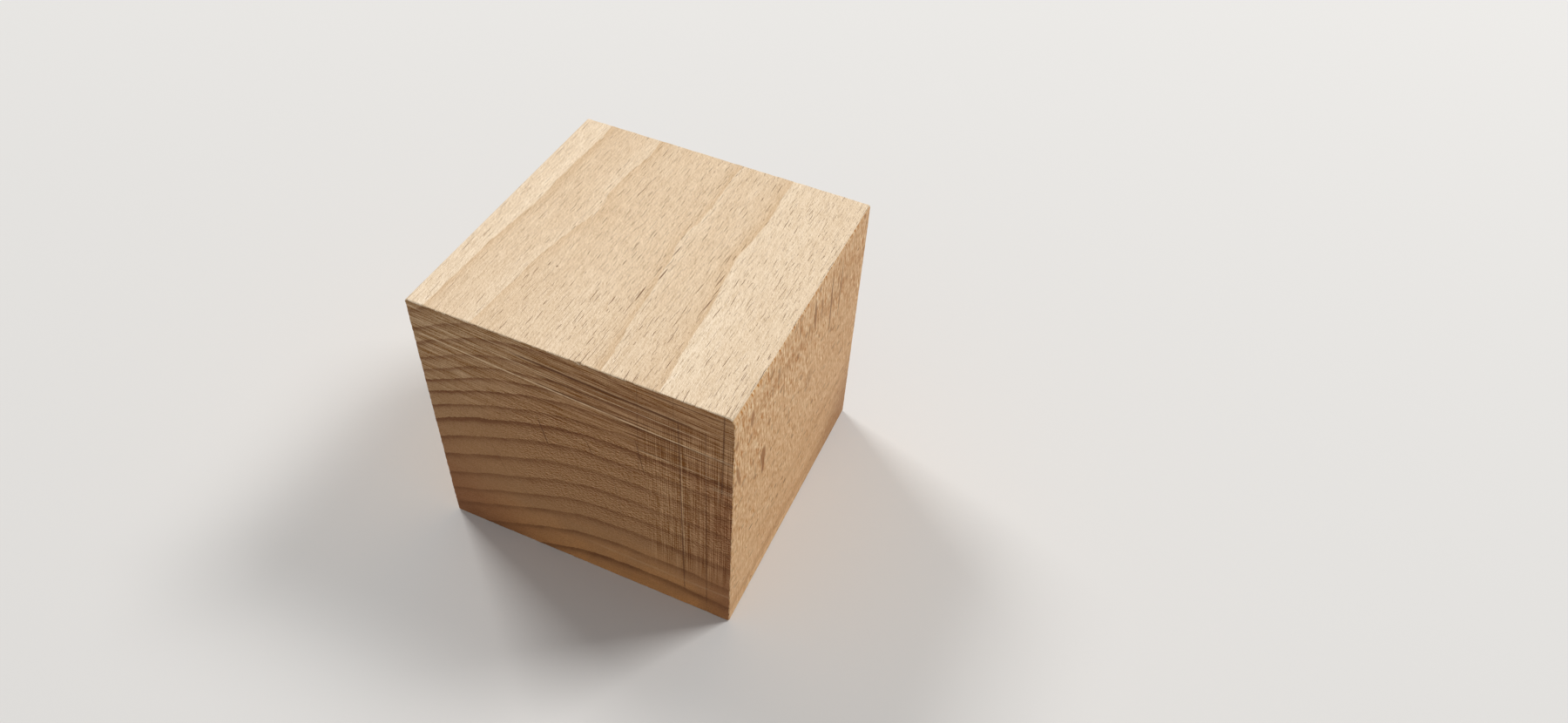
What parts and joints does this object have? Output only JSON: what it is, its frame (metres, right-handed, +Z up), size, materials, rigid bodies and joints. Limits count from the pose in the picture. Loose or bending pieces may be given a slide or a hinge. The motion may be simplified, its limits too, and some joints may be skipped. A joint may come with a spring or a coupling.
{
  "type": "wooden cube",
  "caption": "Solid beech cube sawn from a planed stick, with planed sides and saw-marked end grain, used as a desk or bench block.",
  "frame": {"origin": "middle of the face that the cube stands on", "axes": "+Z up; Y along the grain, with the saw-marked end at -Y; X across the stick, so +X is the right side seen from that end"},
  "size_m": [0.048, 0.047, 0.046],
  "materials": {
    "beech": "bare planed beech on four sides, sawn end grain on two, no varnish"
  },
  "bodies": {
    "root": {"beech_block": "beech"}
  },
  "joints": []
}
